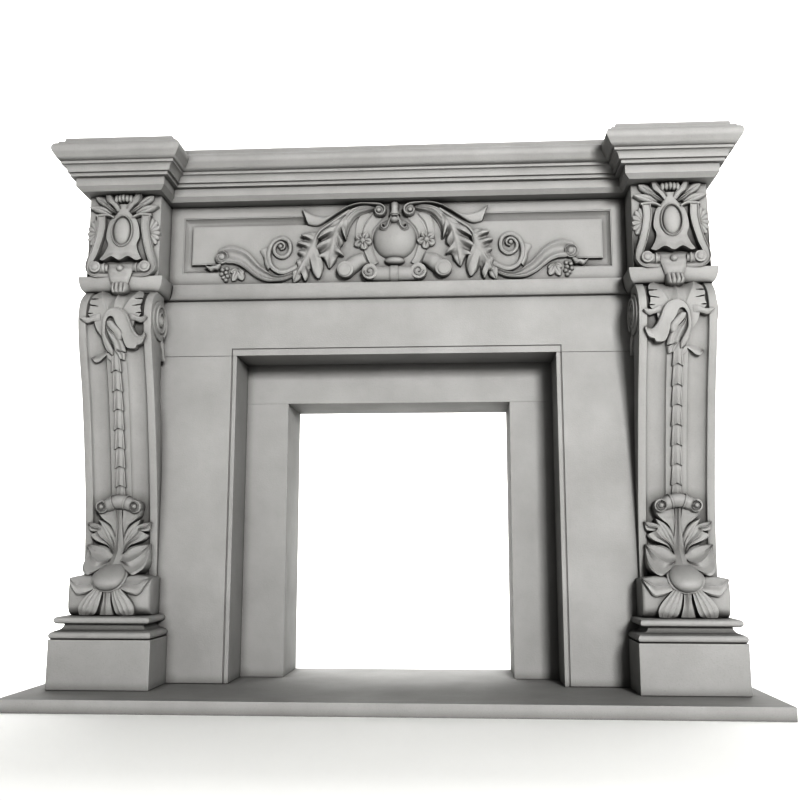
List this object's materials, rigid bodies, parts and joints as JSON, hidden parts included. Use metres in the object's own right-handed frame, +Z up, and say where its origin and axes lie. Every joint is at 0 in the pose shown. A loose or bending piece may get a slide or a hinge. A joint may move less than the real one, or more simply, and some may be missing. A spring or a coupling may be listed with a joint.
{
  "type": "fireplace surround",
  "caption": "Carved stone fireplace with a slab hearth, scrolled console legs on moulded plinths, acanthus capitals and frieze, a break-front cornice shelf and a set-back inner frame.",
  "frame": {"origin": "centre of the bounding box's underside, on the floor under the hearth slab", "axes": "+X along the shelf towards the right-hand leg as seen from the room, +Y into the wall, +Z up"},
  "size_m": [1.76, 0.617, 1.415],
  "materials": {
    "stone": "finely honed grey limestone, matt, with rubbed edges"
  },
  "bodies": {
    "root": {"hearth_slab": "stone", "plinth_block_left": "stone", "plinth_base_left": "stone", "console_left": "stone", "capital_left": "stone", "facing_jamb_left": "stone", "lining_jamb_left": "stone", "plinth_block_right": "stone", "plinth_base_right": "stone", "console_right": "stone", "capital_right": "stone", "facing_jamb_right": "stone", "lining_jamb_right": "stone", "frieze_panel": "stone", "frieze_bed_moulding": "stone", "cornice": "stone", "facing_lintel": "stone", "lining_lintel": "stone"}
  },
  "joints": []
}
